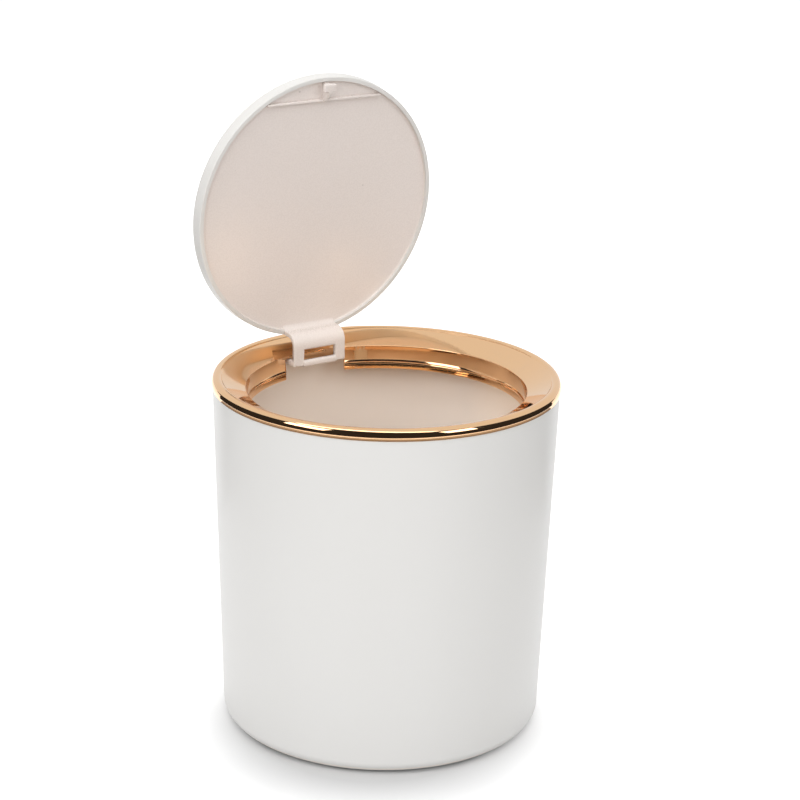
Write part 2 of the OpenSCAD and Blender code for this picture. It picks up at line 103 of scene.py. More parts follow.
# %% [markdown]
# ## Camera
# A long lens, a metre away, a little above the rim and off to one side, so that the round mouth reads
# as a flat ellipse. The camera is aimed with a small turn and tilt so that the middle of the can lands
# on one pixel of the frame, and it is rolled by a degree, because the product wasn't quite level in the
# picture.

# %% Camera
FRAME_PX = 800
CAMERA_AZIMUTH = math.radians(-34.0)
CAMERA_ELEVATION = math.radians(21.85)
CAMERA_DISTANCE = 1.0
CAMERA_ROLL = math.radians(1.126)
LENS_PX = 2271.6
SENSOR_MM = 36.0
AIM_POINT = np.array([0.0, 0.0, 0.0778])
AIM_PX = (383.4, 542.1)


def make_camera():
    """Basis of the view (right, up, back), rolled, turned and tilted to put the aim on its pixel."""
    sin_a, cos_a = math.sin(CAMERA_AZIMUTH), math.cos(CAMERA_AZIMUTH)
    sin_e, cos_e = math.sin(CAMERA_ELEVATION), math.cos(CAMERA_ELEVATION)
    back = np.array([sin_a * cos_e, -cos_a * cos_e, sin_e])
    right = np.array([cos_a, sin_a, 0.0])
    up = np.array([-sin_a * sin_e, cos_a * sin_e, cos_e])
    sin_r, cos_r = math.sin(CAMERA_ROLL), math.cos(CAMERA_ROLL)
    rolled = np.array([cos_r * right + sin_r * up, cos_r * up - sin_r * right, back])
    turn = math.atan((AIM_PX[0] - FRAME_PX / 2) / LENS_PX)
    tilt = math.atan((FRAME_PX / 2 - AIM_PX[1]) / LENS_PX)
    about_y = np.array([[math.cos(turn), 0, -math.sin(turn)], [0, 1, 0], [math.sin(turn), 0, math.cos(turn)]])
    about_x = np.array([[1, 0, 0], [0, math.cos(tilt), -math.sin(tilt)], [0, math.sin(tilt), math.cos(tilt)]])
    world = (about_x @ about_y @ rolled).T
    data = bpy.data.cameras.new("camera")
    data.sensor_width = SENSOR_MM
    data.lens = SENSOR_MM * LENS_PX / FRAME_PX
    data.clip_start, data.clip_end = 0.05, 20
    camera = bpy.data.objects.new("camera", data)
    camera.location = AIM_POINT + CAMERA_DISTANCE * back
    camera.rotation_mode = "QUATERNION"
    camera.rotation_quaternion = Matrix(world.tolist()).to_quaternion()
    bpy.context.collection.objects.link(camera)
    bpy.context.scene.camera = camera
    return camera


camera = make_camera()
bpy.context.scene.view_settings.view_transform = "Standard"
print("camera at", [round(v, 4) for v in camera.location], "lens", round(camera.data.lens, 2))

# %% [markdown]
# ## Mesh helpers
# Every new piece is a grid of points: a profile carried round the axis, or an outline carried through a
# thickness. The grid is computed as one array and handed to the mesh in one go. Corners of a profile
# are written as a point and a radius, and the helper puts the arc in.

# %% Rounded profiles
STRAIGHT_HALF = math.radians(89.5)


def arc(centre, radius, start, end, steps):
    """Points of a circle about centre, from start to end in degrees."""
    t = np.radians(np.linspace(start, end, steps + 1))
    return np.stack([centre[0] + radius * np.cos(t), centre[1] + radius * np.sin(t)], axis=1)


def rounded(corners, steps=6, closed=True):
    """Polygon of (x, y, radius) corners, each replaced by the arc that touches both of its sides."""
    p = np.array([c[:2] for c in corners], float)
    out = []
    for i, (x, y, radius) in enumerate(corners):
        if radius == 0 or (not closed and i in (0, len(corners) - 1)):
            out.append([[x, y]])
            continue
        before, after = p[i - 1] - p[i], p[(i + 1) % len(p)] - p[i]
        before, after = before / np.linalg.norm(before), after / np.linalg.norm(after)
        half = math.acos(np.clip(before @ after, -1, 1)) / 2
        if half > STRAIGHT_HALF:
            out.append([[x, y]])
            continue
        middle = (before + after) / np.linalg.norm(before + after)
        centre = p[i] + middle * radius / math.sin(half)
        a = p[i] + before * radius / math.tan(half) - centre
        b = p[i] + after * radius / math.tan(half) - centre
        start = math.degrees(math.atan2(a[1], a[0]))
        turn = (math.degrees(math.atan2(b[1], b[0])) - start + 540) % 360 - 180
        out.append(arc(centre, radius, start, start + turn, steps))
    return np.concatenate(out)


# %% From a grid of points to a mesh
def grid_mesh(name, points, close_u=True, close_v=True, caps=False, sharp=40):
    """Mesh of a (u, v, 3) grid in millimetres. Faces join neighbours and wrap round where closed."""
    nu, nv = points.shape[:2]
    ids = np.arange(nu * nv).reshape(nu, nv)
    u = ids if close_u else ids[:-1]
    u_next = np.roll(ids, -1, axis=0) if close_u else ids[1:]
    a, b = u, u_next
    if close_v:
        a_next, b_next = np.roll(a, -1, axis=1), np.roll(b, -1, axis=1)
    else:
        a, b, a_next, b_next = a[:, :-1], b[:, :-1], a[:, 1:], b[:, 1:]
    quads = np.stack([a, b, b_next, a_next], axis=-1).reshape(-1, 4)
    faces = quads.tolist()
    if caps:
        faces += [ids[0].tolist(), ids[-1][::-1].tolist()]
    return face_mesh(name, points.reshape(-1, 3), faces, sharp)


def face_mesh(name, vertices, faces, sharp=40):
    """Mesh of points in millimetres and faces, with doubles merged, normals outwards and smooth shading."""
    mesh = bpy.data.meshes.new(name)
    mesh.from_pydata((np.asarray(vertices) * MM).tolist(), [], faces)
    work = bmesh.new()
    work.from_mesh(mesh)
    bmesh.ops.remove_doubles(work, verts=work.verts, dist=2e-6)
    bmesh.ops.dissolve_degenerate(work, edges=work.edges, dist=1e-6)
    bmesh.ops.recalc_face_normals(work, faces=work.faces)
    work.to_mesh(mesh)
    work.free()
    mesh.polygons.foreach_set("use_smooth", np.ones(len(mesh.polygons), bool))
    mesh.set_sharp_from_angle(angle=math.radians(sharp))
    piece = bpy.data.objects.new(name, mesh)
    bpy.context.collection.objects.link(piece)
    return piece


def join(name, parts):
    """One object of several closed shells."""
    bpy.ops.object.select_all(action="DESELECT")
    for part in parts:
        part.select_set(True)
    bpy.context.view_layer.objects.active = parts[0]
    bpy.ops.object.join()
    parts[0].name = name
    parts[0].data.name = name
    return parts[0]


# %% Shapes that the pieces share
def round_axis(r, t, z):
    """Points at radius r and angle t from the front: x = r sin t, y = -r cos t."""
    return np.stack([r * np.sin(t), -r * np.cos(t), z + 0 * t], axis=-1)


def columns(stops, step, least):
    """Angles through all the stops, doubled at each inner one, and the number of each angle's stretch."""
    angles, stretch = [], []
    for i, (start, end) in enumerate(zip(stops[:-1], stops[1:])):
        count = max(least, round((end - start) / math.radians(step)))
        angles.append(np.linspace(start, end, count + 1))
        stretch.append(np.full(count + 1, i))
    return np.concatenate(angles)[:-1], np.concatenate(stretch)[:-1]


def turned(name, profile, segments=480, sharp=40):
    """Surface of revolution of a profile of (radius, height) points."""
    t = np.linspace(0, 2 * math.pi, segments, endpoint=False)[:, None]
    return grid_mesh(name, round_axis(profile[None, :, 0], t, profile[None, :, 1]), sharp=sharp)


def outline_normals(outline):
    """Outward normals of a closed outline: the mean of the normals of the two sides at each point."""
    side = np.roll(outline, -1, axis=0) - outline
    side /= np.linalg.norm(side, axis=1, keepdims=True) + 1e-12
    mean = side + np.roll(side, 1, axis=0)
    mean /= np.linalg.norm(mean, axis=1, keepdims=True) + 1e-12
    normals = np.stack([mean[:, 1], -mean[:, 0]], axis=1)
    area = (outline[:, 0] * np.roll(outline[:, 1], -1) - np.roll(outline[:, 0], -1) * outline[:, 1]).sum()
    return normals if area > 0 else -normals


def plate_grid(outline, low, high, edge, steps=4):
    """Outline carried from low to high, drawn in by edge * (1 - sin) near both ends for round rims."""
    t = np.linspace(0, math.pi / 2, steps + 1)
    inset = edge * (1 - np.sin(t))
    rise = edge * (1 - np.cos(t))
    inset = np.concatenate([inset, inset[::-1]])
    height = np.concatenate([low + rise, high - rise[::-1]])
    normals = outline_normals(outline)
    flat = outline[None] - inset[:, None, None] * normals[None]
    return flat, np.broadcast_to(height[:, None], flat.shape[:2])


def side_plate(name, outline, x0, x1, edge, place):
    """Plate whose outline lies in the (y, z) plane, between x0 and x1."""
    flat, height = plate_grid(outline, x0, x1, edge)
    points = np.stack([height, flat[..., 0], flat[..., 1]], axis=-1)
    return grid_mesh(name, place(points), close_u=False, caps=True)


def block(name, low, high, edge, place):
    """Box between two corners with all its edges rounded by edge."""
    (x0, y0, z0), (x1, y1, z1) = low, high
    corners = [(x0, y0, edge), (x1, y0, edge), (x1, y1, edge), (x0, y1, edge)]
    flat, height = plate_grid(rounded(corners, 4), z0, z1, edge)
    points = np.stack([flat[..., 0], flat[..., 1], height], axis=-1)
    return grid_mesh(name, place(points), close_u=False, caps=True)


def as_is(points):
    return points


# %% [markdown]
# ## Body of the can
# One moulding: a straight wall that draws in towards the base, a rounded foot and a plain top edge that
# the ring drops over. It is turned from a profile with round corners. The base has a shallow ring under
# it that keeps the middle off the table, and the inside corner is rounded so that the can wipes clean.

# %% Body of the can
BODY_WALL = 1.6
BASE_T = 2.4
BODY_TAPER = 4.65
FOOT_ROUND = 5.4
EDGE_ROUND = 0.3


def body_profile():
    """Outline of the wall's section: up the outside, over the edge, down the inside and across the floor."""
    base_r = body_r - BODY_TAPER
    floor = body_base + BASE_T
    inner_top, inner_low = body_r - BODY_WALL, base_r - BODY_WALL
    return rounded([
        (0, body_base, 0), (38, body_base, 0), (39, body_base + 0.5, 0.4), (41, body_base + 0.5, 0.4),
        (42, body_base, 0), (base_r, body_base, FOOT_ROUND), (body_r, body_top, EDGE_ROUND),
        (inner_top, body_top, EDGE_ROUND), (inner_low, floor, FOOT_ROUND - 1), (0, floor, 0)], 14)


can_body = turned("can_body", body_profile(), 540)
print("can_body:", len(can_body.data.polygons), "faces")

# %% [markdown]
# ## Rim ring
# The plated ring has a rolled crest, a funnel, a seat wall with two beads and a collar. Behind the
# lid's arm the wall is cut away and only a short tongue is left. The ring is a grid again: the profile
# is carried round the axis, and between the edges of the cut the wall's lower points are lifted to the
# height where the cut ends. Two columns at the same angle make the flat faces of the cut.

# %% Rim ring
CREST_R = 2.5
CREST_FALL = 3.25
LIP_INSET = 0.2
LIP_STEP = 1.4
LIP_H = 4.85
CREASE_ANGLE = 140
MOUTH_R = 60.3
FUNNEL_DROP = 5.84
FUNNEL_T = 1.2
SEAT_T = 1.4
SEAT_H = 6.2
SEAT_DRAFT = 0.55
BEAD_R = 0.45
RIDGE_H = 1.1
COLLAR_H = 2.6
COLLAR_IN = 1.0
SKIRT_DEPTH = 11
SKIRT_T = 1.4
CUT_HALF = 15.7
CUT_DEPTH = 6.94
TONGUE_HALF = 10.5
TONGUE_DEPTH = 9.2
SKIRT_CUT_HALF = 18.1
RING_STEP = 0.7

crest_c = np.array([can_r - CREST_R, can_h - CREST_R])
crease = arc(crest_c, CREST_R, 0, CREASE_ANGLE, 1)[-1]
mouth = np.array([MOUTH_R, can_h - FUNNEL_DROP])
funnel_dir = (crease - mouth) / np.linalg.norm(crease - mouth)
seat_low = np.array([MOUTH_R - SEAT_DRAFT, can_h - FUNNEL_DROP - SEAT_H])


def funnel_under(r):
    """Height of the funnel's underside at radius r: a line parallel to the funnel, one thickness below it."""
    return mouth[1] + (r - MOUTH_R) * funnel_dir[1] / funnel_dir[0] - FUNNEL_T / funnel_dir[0]


def ridge_shape(ledge):
    """One ridge from its upper edge: a ledge, a slope inwards, a round tip and a short return."""
    return rounded([
        (0, 0, 0), (-0.55 * ledge, -0.6 * ledge, 0.15), (-BEAD_R, -0.8 * RIDGE_H, 0.12),
        (0, -0.97 * RIDGE_H, 0)], 4, closed=False)


def ring_profile():
    """Section of the ring, and whether each point is on the seat wall (1) or on the skirt (2)."""
    collar_r = seat_low[0] + BEAD_R - COLLAR_IN
    bead_low = seat_low[1] - 2 * RIDGE_H
    collar_z = seat_low[1] - 4 * BEAD_R - COLLAR_H
    back = MOUTH_R + SEAT_T
    slope = BODY_TAPER / (body_top - body_base)
    skirt_r = body_r - BODY_WALL - 0.3 - slope * (SKIRT_DEPTH - LIP_H)
    skirt_in = skirt_r - SKIRT_T
    skirt_low = can_h - SKIRT_DEPTH
    lip = np.array([
        [can_r - LIP_INSET - 0.12, body_top], [can_r - LIP_INSET, body_top + 0.12],
        [can_r - LIP_INSET, body_top + LIP_STEP - 0.1], [can_r - LIP_INSET + 0.03, body_top + LIP_STEP],
        [can_r - 0.03, body_top + LIP_STEP + 0.14]])
    crest = arc(crest_c, CREST_R, 0, CREASE_ANGLE, 28)
    fall = crest[:, 0] > crest_c[0]
    stretch = (CREST_FALL - CREST_R) * (1 - (crest[:, 1] - crest_c[1]) / CREST_R)
    crest[:, 1] -= np.where(fall, stretch, 0)
    edge = rounded([(*crease, 0), (*mouth, 0.5), (*seat_low, 0)], 8, closed=False)[1:-1]
    beads = [seat_low + [0, -i * RIDGE_H] + ridge_shape(0.05 + 0.4 * i) for i in range(2)]
    collar = rounded([
        (seat_low[0], bead_low, 0), (collar_r, collar_z, 0.35), (collar_r + SEAT_T, collar_z, 0.35),
        (seat_low[0] + SEAT_T, bead_low, 0.6), (back, mouth[1] - FUNNEL_T - 0.8, 0.5)], 6, closed=False)[1:]
    web = np.array([[back + 0.6, funnel_under(back + 0.6)]])
    skirt = rounded([
        (skirt_in - 3, funnel_under(skirt_in - 3), 0), (skirt_in, funnel_under(skirt_in), 0.6),
        (skirt_in, skirt_low, 0.4), (skirt_r, skirt_low, 0.4),
        (skirt_r + slope * (SKIRT_DEPTH - LIP_H), body_top, 0)], 4, closed=False)
    parts = [
        (lip, 0), (crest, 0), (edge, 0), *[(b, 1) for b in beads], (collar, 1), (web, 0),
        (skirt[:2], 0), (skirt[2:], 2)]
    profile = np.concatenate([p for p, _ in parts])
    return profile, np.concatenate([np.full(len(p), tag) for p, tag in parts])


def ring_columns():
    """Angles from the front, two at each edge of a cut, the wall's region, and where the skirt is gone."""
    cut, tongue = math.asin(CUT_HALF / MOUTH_R), math.asin(TONGUE_HALF / MOUTH_R)
    skirt = math.asin(SKIRT_CUT_HALF / (body_r - BODY_WALL))
    edges = sorted([tongue, cut, skirt])
    stops = [-math.pi + 1e-9, *[e - math.pi for e in edges], *[math.pi - e for e in reversed(edges)], math.pi]
    angle, stretch = columns(stops, RING_STEP, 3)
    off = math.pi - np.abs(np.add(stops[:-1], stops[1:])) / 2
    wall = np.where(off < tongue, 2, off < cut)
    return angle, wall[stretch], (off < skirt)[stretch]


def ring_grid():
    """Profile carried round; in region 1 the seat wall ends at the cut and in region 2 at the tongue."""
    profile, tag = ring_profile()
    angle, wall, bare = ring_columns()
    r = np.repeat(profile[None, :, 0], len(angle), axis=0)
    z = np.repeat(profile[None, :, 1], len(angle), axis=0)
    stop = np.select([wall == 1, wall == 2], [can_h - CUT_DEPTH, can_h - TONGUE_DEPTH], -1e9)[:, None]
    front = MOUTH_R - SEAT_DRAFT * (mouth[1] - stop) / SEAT_H
    lifted = (z < stop) & (r < MOUTH_R + SEAT_T + 0.1)
    z = np.where(lifted, stop, z)
    r = np.where(lifted, np.clip(r, front, MOUTH_R + SEAT_T), r)
    no_skirt = (tag[None] == 2) & bare[:, None]
    z = np.where(no_skirt, np.maximum(z, body_top), z)
    return round_axis(r, angle[:, None], z)


ring_shell = grid_mesh("ring_shell", ring_grid(), sharp=18)
print("ring_shell:", len(ring_shell.data.polygons), "faces")

# %% [markdown]
# Two ears hang from the funnel and hold the ends of the hinge pin, and a plate in front carries the
# latch. Both are out of sight until the ring is lifted off. They are outlines carried through a
# thickness with round rims.

# %% Ears and latch plate of the ring
EAR_R = 2.4
EAR_T = 2.4
ARM_HALF = 13.4
RUN_GAP = 0.3


def hinge_place(points):
    """Moves points that are measured from the pin to their place."""
    return points + np.array([0, pin[1], pin[2]])


def ring_ears():
    """One ear on each side: a half disc below the pin and two straight sides up into the funnel."""
    x0 = ARM_HALF + RUN_GAP
    top = funnel_under(math.hypot(pin[1], x0 + EAR_T / 2)) + FUNNEL_T / 3 - pin[2]
    slope = funnel_dir[1] / funnel_dir[0]
    outline = np.concatenate([
        arc([0, 0], EAR_R, 180, 360, 24), [[EAR_R, top + EAR_R * slope], [-EAR_R, top - EAR_R * slope]]])
    return [side_plate(f"ear_{i}", outline, *sorted((s * x0, s * (x0 + EAR_T))), 0.3, hinge_place)
            for i, s in enumerate((-1, 1))]


def latch_plate():
    """Plate that the latch is screwed to, from the collar down."""
    housing_low, housing_high = box_mm("latch_housing")
    half = housing_high[0] + 1
    low = [-half, housing_low[1] - 1.8, housing_low[2] + 1]
    high = [half, housing_low[1], can_h - 15.6]
    return block("latch_plate", low, high, 0.3, as_is)


rim_ring_dressed = join("plated_ring", [ring_shell, *ring_ears(), latch_plate()])
print("plated_ring:", len(rim_ring_dressed.data.polygons), "faces")

# %% [markdown]
# ## Lid
# The lid is worked out closed, as it is moulded, and then turned open about the pin. Its cover is a
# shallow crowned cap, turned like the body, with a notch in its rim where the arm leaves.

# %% Lid cover
LID_R = 59.9
LID_DRAFT = 0.6
LID_H = 7.0
LID_ROUND = 2.2
LID_CROWN = 1.0
COVER_T = 1.8
LID_EDGE_DEPTH = 10.5
PANEL_INSET = 1.8
PANEL_T = 1.8
COVER_ROUND = 0.45
HOLLOW_INSET = 5
COVER_STEP = 0.75

edge_z = can_h - LID_EDGE_DEPTH
floor_z = edge_z + PANEL_INSET
step_z = floor_z + PANEL_T


def opened(points):
    """Turns points about the pin by the opening angle: y and z rotate in the plane square to the pin."""
    y, z = points[..., 1] - pin[1], points[..., 2] - pin[2]
    c, s = math.cos(-open_turn), math.sin(-open_turn)
    return np.stack([points[..., 0], pin[1] + y * c - z * s, pin[2] + y * s + z * c], axis=-1)


def cover_profile():
    """Section of the cover: up the drafted side, over the crown, back under it and down inside the rim."""
    edge_r, top_z = LID_R - LID_DRAFT, edge_z + LID_H
    inner_r, hollow_r, under_z = edge_r - COVER_T, LID_R - HOLLOW_INSET, top_z - COVER_T
    t = np.linspace(1, 0, 13)
    crown = np.stack([(LID_R - LID_ROUND) * t, top_z + LID_CROWN * (1 - t**2)], axis=1)
    under = np.stack([hollow_r * t[::-1], under_z + LID_CROWN * (1 - t[::-1]**2)], axis=1)
    side = rounded([
        (inner_r, edge_z, COVER_ROUND), (edge_r, edge_z, COVER_ROUND), (LID_R, top_z, LID_ROUND),
        (0, top_z, 0)], 8)[:-1]
    inner = rounded([
        (hollow_r, under_z, 0), (hollow_r, step_z, 0.2), (inner_r, step_z, 0.2),
        (inner_r, edge_z, 0)], 3, closed=False)[:-1]
    return np.concatenate([side, crown[1:], under[:-1], inner])


def cover_grid():
    """Profile carried round; inside the notch its lower points are lifted to the notch's top."""
    profile = cover_profile()
    notch = math.asin((ARM_HALF + 0.15) / LID_R)
    stops = [-math.pi + 1e-9, -math.pi + notch, math.pi - notch, math.pi]
    angle, stretch = columns(stops, COVER_STEP, 6)
    inside = (stretch != 1)[:, None]
    z = np.where(inside & (profile[None, :, 1] < step_z), step_z, profile[None, :, 1])
    return round_axis(profile[None, :, 0], angle[:, None], z)


lid_shell = grid_mesh("lid_shell", opened(cover_grid()), sharp=35)
print("lid_shell:", len(lid_shell.data.polygons), "faces")

# %% [markdown]
# The panel closes the cover from below. It carries the chord rib, the striker that the latch grips, and
# the gooseneck arm. Its floor is turned, and its border rises in a small round fillet to the rim round
# it, which gives the fine line beside the rim.

# %% Lid panel: floor, rib and striker
PANEL_R = LID_R - LID_DRAFT - COVER_T - 0.2
RIB_Y = 48.5
RIB_T = 1.0
HEAD_W = 5.6
HEAD_L = 3.2
HEAD_T = 2.0
NECK_W = 2.0
STRIKER_OUT = 3.7
BORDER_R = 0.6


def panel_floor():
    """Disc with a rounded border."""
    wall_r = LID_R - LID_DRAFT - COVER_T
    profile = rounded([
        (0, floor_z, 0), (wall_r - 0.05, floor_z, BORDER_R), (wall_r - 0.05, floor_z - BORDER_R, 0),
        (wall_r + 0.05, floor_z - BORDER_R, 0), (wall_r + 0.05, step_z, 0.1), (0, step_z, 0)], 6)
    floor = turned("floor", profile, 360)
    moved = opened(np.array([v.co for v in floor.data.vertices]) / MM) * MM
    floor.data.vertices.foreach_set("co", moved.ravel())
    return floor


def chord_rib():
    """Low wall along the chord y = -RIB_Y, ending at the floor's border."""
    half = math.sqrt(PANEL_R**2 - (RIB_Y + RIB_T)**2) - 0.2
    return block("rib", [-half, -RIB_Y - RIB_T, edge_z + 0.1], [half, -RIB_Y, floor_z + 0.4], 0.25, opened)


def striker():
    """T-shaped head on a neck, with a web that slopes back to the rib."""
    front = -(PANEL_R - 0.3)
    back = front + HEAD_L
    tip = edge_z - STRIKER_OUT
    head = block("head", [-HEAD_W / 2, front, tip], [HEAD_W / 2, back, tip + HEAD_T], 0.3, opened)
    neck = block(
        "neck", [-NECK_W / 2, front + 0.1, tip + 0.6], [NECK_W / 2, back - 0.1, floor_z + 0.4], 0.25, opened)
    web_outline = rounded([
        (back - 0.5, floor_z + 0.4, 0), (back - 0.5, tip + 0.08, 0.2), (back + 0.4, tip + 0.08, 0.3),
        (-RIB_Y, edge_z - 0.2, 0.3), (-RIB_Y, floor_z + 0.4, 0)], 4)
    web = side_plate("web", web_outline, -NECK_W / 2 + 0.06, NECK_W / 2 - 0.06, 0.2, opened)
    return [head, neck, web]


# %% [markdown]
# ### Gooseneck arm
# The arm is a bent plate with a window. Flat, it is a frame: an outer outline, an inner outline, and a
# round edge along both. That is a closed band whose section is a rounded rectangle, so the grid is a
# ring in both directions. The flat frame is then laid along the arm's side view, which runs out of the
# lid's floor, turns down in a round bend and ends below the window.

# %% Gooseneck arm
ARM_T = 1.9
ARM_BEND_R = 5.8
ARM_FILLET_R = 2.8
ARM_ROOT = np.array([-11.31, -2.4])
ARM_CORNER = np.array([-12.40, -12.77])
ARM_END = np.array([2.02, -14.3])
WINDOW_HALF = 8.1
WINDOW_FROM = -5.24
WINDOW_TO = -0.27
ARM_EDGE = 0.55
CORNER_ROUND = 2.0
WINDOW_ROUND = 0.35
PATH_STEP = 0.25
FACE_STEPS = 84


def arm_path():
    """Side view of the arm's outer face, from the pin: floor, root, bend and plate, with running length."""
    floor_start = np.array([-19.0, floor_z - pin[2] + 0.3])
    corners = [(*floor_start, 0), (*ARM_ROOT, ARM_FILLET_R), (*ARM_CORNER, ARM_BEND_R), (*ARM_END, 0)]
    path = rounded(corners, 20, closed=False)
    dense = [
        np.linspace(a, b, max(2, int(np.linalg.norm(b - a) / PATH_STEP)), endpoint=False)
        for a, b in zip(path[:-1], path[1:])]
    path = np.concatenate([*dense, path[-1:]])
    length = np.concatenate([[0], np.cumsum(np.linalg.norm(np.diff(path, axis=0), axis=1))])
    return path, length


def on_arm(across, along, depth):
    """Point of the arm: across is x, along is the running length, depth goes into the plate."""
    path, length = arm_path()
    y = np.interp(along, length, path[:, 0])
    z = np.interp(along, length, path[:, 1])
    step = 0.2
    dy = np.interp(along + step, length, path[:, 0]) - np.interp(along - step, length, path[:, 0])
    dz = np.interp(along + step, length, path[:, 1]) - np.interp(along - step, length, path[:, 1])
    norm = np.hypot(dy, dz) + 1e-9
    point = np.stack([across + 0 * y, y - dz / norm * depth, z + dy / norm * depth], axis=-1)
    return opened(hinge_place(point))


def frame_loop(u0, u1, v0, v1, radius, per_side=64):
    """Rounded rectangle with the same number of points on each side, so that two loops pair up."""
    t = (np.arange(4 * per_side) + 0.5) / per_side
    side, f = np.floor(t).astype(int) % 4, t % 1
    corner = np.array([[u0, v0], [u1, v0], [u1, v1], [u0, v1]])
    p = corner[side] * (1 - f[:, None]) + corner[(side + 1) % 4] * f[:, None]
    low, high = np.array([u0, v0]) + radius, np.array([u1, v1]) - radius
    core = np.clip(p, low, high)
    out = p - core
    far = np.linalg.norm(out, axis=1, keepdims=True)
    both = (np.abs(out) > 1e-9).all(axis=1, keepdims=True)
    return np.where(both, core + out / (far + 1e-12) * radius, p)


def gooseneck():
    """Closed band between the window's loop and the outer loop, with a rounded section."""
    total = arm_path()[1][-1]
    plate_start = total - np.linalg.norm(ARM_END - ARM_CORNER)
    window_low = plate_start + (WINDOW_FROM - ARM_CORNER[0])
    window_high = plate_start + (WINDOW_TO - ARM_CORNER[0])
    outer = frame_loop(-ARM_HALF, ARM_HALF, 0.0, total, CORNER_ROUND)
    inner = frame_loop(-WINDOW_HALF, WINDOW_HALF, window_low, window_high, WINDOW_ROUND)
    t = np.linspace(0, math.pi / 2, 5)
    rise, inset = ARM_EDGE * (1 - np.sin(t)), ARM_EDGE * (1 - np.cos(t))
    across = np.linalg.norm(outer - inner, axis=1, keepdims=True)
    way = (outer - inner) / across
    face = np.linspace(0, 1, FACE_STEPS)[1:-1]
    section = [(inner + way * e, d) for e, d in zip(inset[::-1], rise[::-1])]
    section += [(inner + way * (ARM_EDGE + f * (across - 2 * ARM_EDGE)), 0.0) for f in face]
    section += [(outer - way * e, d) for e, d in zip(inset, rise)]
    ring = section + [(p, ARM_T - d) for p, d in section[::-1]]
    flat = np.stack([p for p, _ in ring])
    depth = np.array([d for _, d in ring])[:, None] + 0 * flat[..., 0]
    return grid_mesh("gooseneck", on_arm(flat[..., 0], flat[..., 1], depth), sharp=50)


# %% Crossbar, cheeks and the peg of the arm
CHEEK_T = 2.2
EYE_R = 2.1
CROSSBAR_W = 2.2
CROSSBAR_OUT = 0.5
PEG_R = 4.0
PEG_D = 1.2
PEG_ANGLE = 290
CROSSBAR_PROUD = 0.5
COIL_L = 17.0
COIL_R = 1.9
WIRE_D = 0.6


def in_hinge(points):
    return opened(hinge_place(points))


def crossbar():
    """Round-edged bar below the window, standing a little proud of the plate and of its end."""
    plate_dir = (ARM_END - ARM_CORNER) / np.linalg.norm(ARM_END - ARM_CORNER)
    side = np.array([-plate_dir[1], plate_dir[0]])
    start, end = ARM_END - CROSSBAR_W * plate_dir, ARM_END + CROSSBAR_OUT * plate_dir
    proud = CROSSBAR_PROUD * side
    corners = [start - proud, end - proud, end + ARM_T * side, start + ARM_T * side]
    outline = rounded([(*c, 0.8) for c in corners], 6)
    half = WINDOW_HALF + CROSSBAR_OUT
    return side_plate("crossbar", outline, -half, half, 0.5, in_hinge)


def cheeks():
    """Arms of the plate that run up to the pin, one at each side, with round eyes."""
    side = np.array([0.0, 1.0])
    foot = np.array([WINDOW_TO - 0.5, ARM_END[1] + 0.4])
    outline = np.concatenate([
        [ARM_END + [0, 0.3], ARM_END + ARM_T * side, [3.1, -8.0], [3.1, -5.0]],
        arc([0, 0], EYE_R, 20, 215, 26), [[0.53, -7.4], [0.03, -12.2], foot]])
    x0 = ARM_HALF - CHEEK_T
    return [side_plate(f"cheek_{i}", outline, *sorted((s * x0, s * ARM_HALF)), 0.3, in_hinge)
            for i, s in enumerate((-1, 1))]


def spring_peg():
    """Peg that the torsion spring's moving leg pushes."""
    a = math.radians(PEG_ANGLE)
    centre = PEG_R * np.array([math.cos(a), math.sin(a)])
    outline = arc(centre, PEG_D / 2, 0, 360, 24)[:-1]
    return side_plate("peg", outline, COIL_L / 2, ARM_HALF - CHEEK_T + 0.2, 0.15, in_hinge)


lid_panel_dressed = join("lid_inside", [
    panel_floor(), chord_rib(), *striker(), gooseneck(), crossbar(), *cheeks(), spring_peg()])
print("lid_inside:", len(lid_panel_dressed.data.polygons), "faces")

# %% [markdown]
# ## Springs
# Both springs are wire wound on a helix. A tube is carried along the helix: each ring of points stands
# square to the wire, spanned by two directions at right angles to it.

# %% Springs
COIL_TURNS = 24
COIL_LEG = 4.5
LATCH_TURNS = 10
LATCH_WIRE_D = 0.35


def wire(name, path, diameter, sides=12):
    """Tube about a path: rings spanned by two directions square to it, closed at both ends."""
    along = np.gradient(path, axis=0)
    along /= np.linalg.norm(along, axis=1, keepdims=True)
    helper = np.where(np.abs(along[:, :1]) > 0.9, [[0.0, 1.0, 0.0]], [[1.0, 0.0, 0.0]])
    first = np.cross(along, helper)
    first /= np.linalg.norm(first, axis=1, keepdims=True)
    second = np.cross(along, first)
    t = np.linspace(0, 2 * math.pi, sides, endpoint=False)
    ring = first[:, None] * np.cos(t)[None, :, None] + second[:, None] * np.sin(t)[None, :, None]
    return grid_mesh(name, path[:, None] + ring * diameter / 2, close_u=False, caps=True, sharp=60)


def torsion_spring():
    """Coil round the pin, x rises evenly with the angle, then a straight leg under the funnel."""
    t = np.linspace(0, COIL_TURNS * 2 * math.pi, COIL_TURNS * 28 + 1)
    x = np.linspace(-COIL_L / 2 + WIRE_D / 2, COIL_L / 2 - WIRE_D / 2, len(t))
    leg_angle = math.pi / 2 + math.atan2(funnel_dir[1], funnel_dir[0])
    y, z = COIL_R * np.cos(leg_angle + t), COIL_R * np.sin(leg_angle + t)
    coil = np.stack([x, y, z], axis=1)
    run = np.linspace(COIL_LEG, 0.2, 12)[:, None]
    leg = coil[0] - run * np.array([0.0, -math.sin(leg_angle), math.cos(leg_angle)])
    return wire("torsion_spring", hinge_place(np.concatenate([leg, coil])), WIRE_D)


